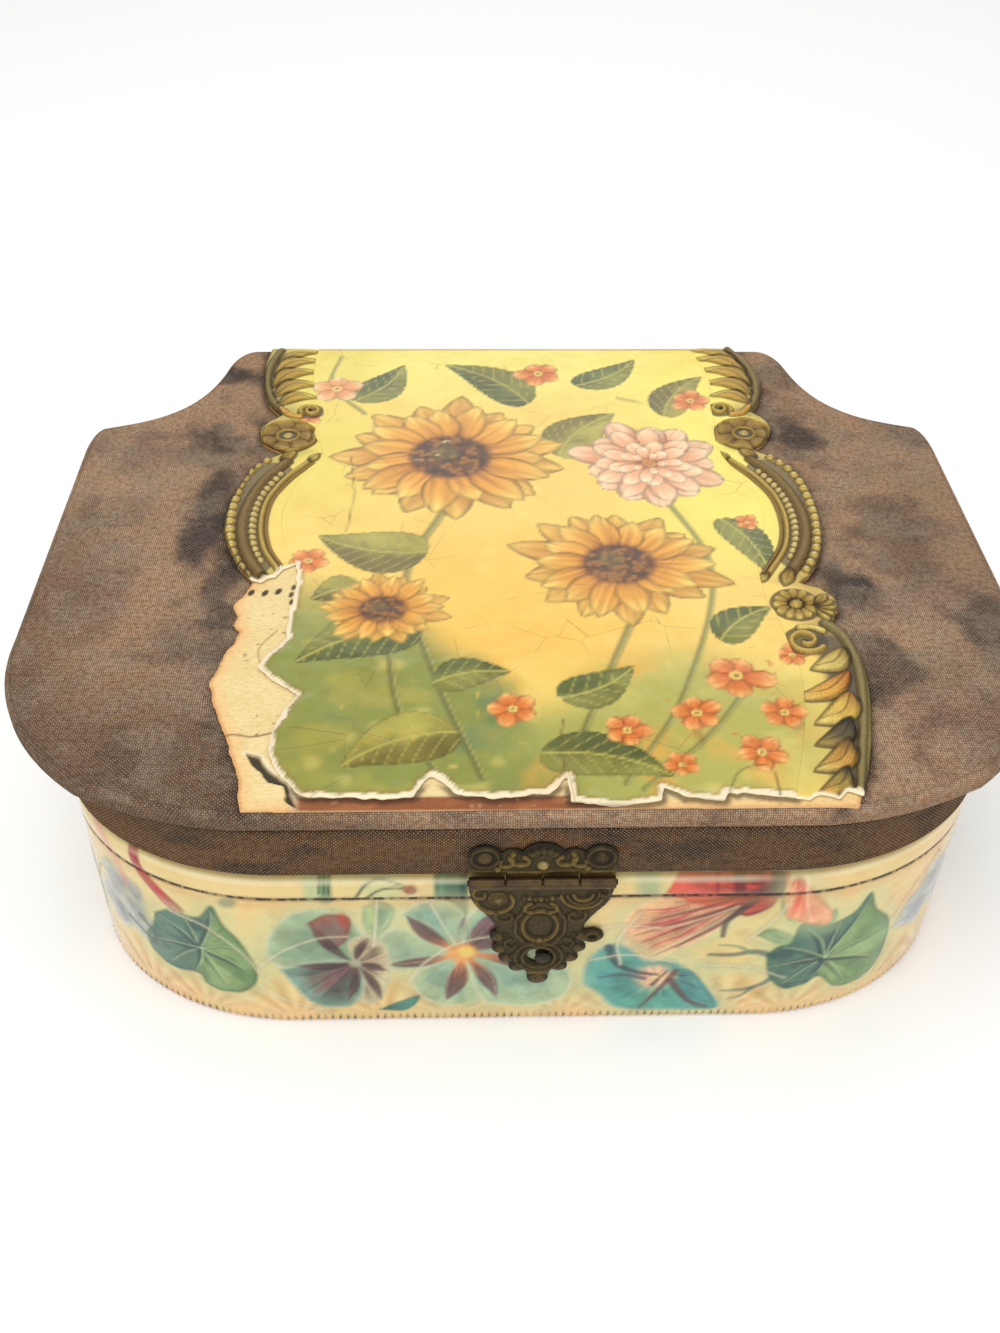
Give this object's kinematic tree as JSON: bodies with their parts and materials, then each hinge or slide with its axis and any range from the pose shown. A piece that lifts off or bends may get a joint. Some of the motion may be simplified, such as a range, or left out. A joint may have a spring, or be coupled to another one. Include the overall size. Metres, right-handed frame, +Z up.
{
  "type": "jewelry box",
  "caption": "Celluloid-covered jewelry box with a flat shaped cloth lid, a glossy print between gilt scrolls, rear butt hinges and a hanging embossed brass hasp",
  "frame": {"origin": "on the underside of the box, under the middle of the lid's outline, at the height of the table", "axes": "X to the right seen from the clasp, Y to the hinges at the back, Z up"},
  "size_m": [0.2706, 0.2289, 0.0837],
  "materials": {
    "celluloid_wrap": "embossed celluloid, cream with flowers, glossy",
    "celluloid_print": "smooth glossy celluloid print with fine cracks",
    "gilt": "dull pressed gilt, dark in the hollows",
    "card": "bare cream card with torn edges",
    "lid_cloth": "coarse plain weave, worn and stained",
    "apron_cloth": "fine plain weave, worn",
    "wood": "planed softwood, bare",
    "paper": "aged lining paper",
    "satin": "puffed gold satin",
    "antique_brass": "antique brass, dark with worn gold heights"
  },
  "bodies": {
    "base": {"underside_paper": "paper", "base_board": "wood", "base_wall": "wood", "base_wrap": "celluloid_wrap", "base_lining_wall": "satin", "floor_cushion": "satin", "catch_stud": "antique_brass", "hinge_base_leaf_left": "antique_brass", "hinge_base_leaf_right": "antique_brass", "hinge_pin_left": "antique_brass", "hinge_pin_right": "antique_brass", "hinge_nail_base_left_a": "antique_brass", "hinge_nail_base_left_b": "antique_brass", "hinge_nail_base_right_a": "antique_brass", "hinge_nail_base_right_b": "antique_brass"},
    "lid": {"lid_board": "wood", "lid_cloth": "lid_cloth", "lid_apron": "wood", "apron_cloth": "apron_cloth", "panel_card": "card", "print_sheet": "celluloid_print", "gilt_border_left": "gilt", "gilt_border_right": "gilt", "lid_lining_wall": "satin", "lid_lining_pad": "satin", "clasp_lid_leaf": "antique_brass", "clasp_pin": "antique_brass", "clasp_nail_left": "antique_brass", "clasp_nail_right": "antique_brass", "hinge_lid_leaf_left": "antique_brass", "hinge_lid_leaf_right": "antique_brass", "hinge_nail_lid_left_a": "antique_brass", "hinge_nail_lid_left_b": "antique_brass", "hinge_nail_lid_right_a": "antique_brass", "hinge_nail_lid_right_b": "antique_brass"},
    "hasp": {"clasp_hasp": "antique_brass"}
  },
  "joints": [
    {"name": "lid_hinge", "type": "hinge", "parent": "base", "child": "lid", "pos_m": [0, 0.1128, 0.0606], "axis": [-1, 0, 0], "range_deg": [0, 105]},
    {"name": "hasp_hinge", "type": "hinge", "parent": "lid", "child": "hasp", "pos_m": [0.00245, -0.1129, 0.0596], "axis": [-1, 0, 0], "range_deg": [0, 120]}
  ]
}
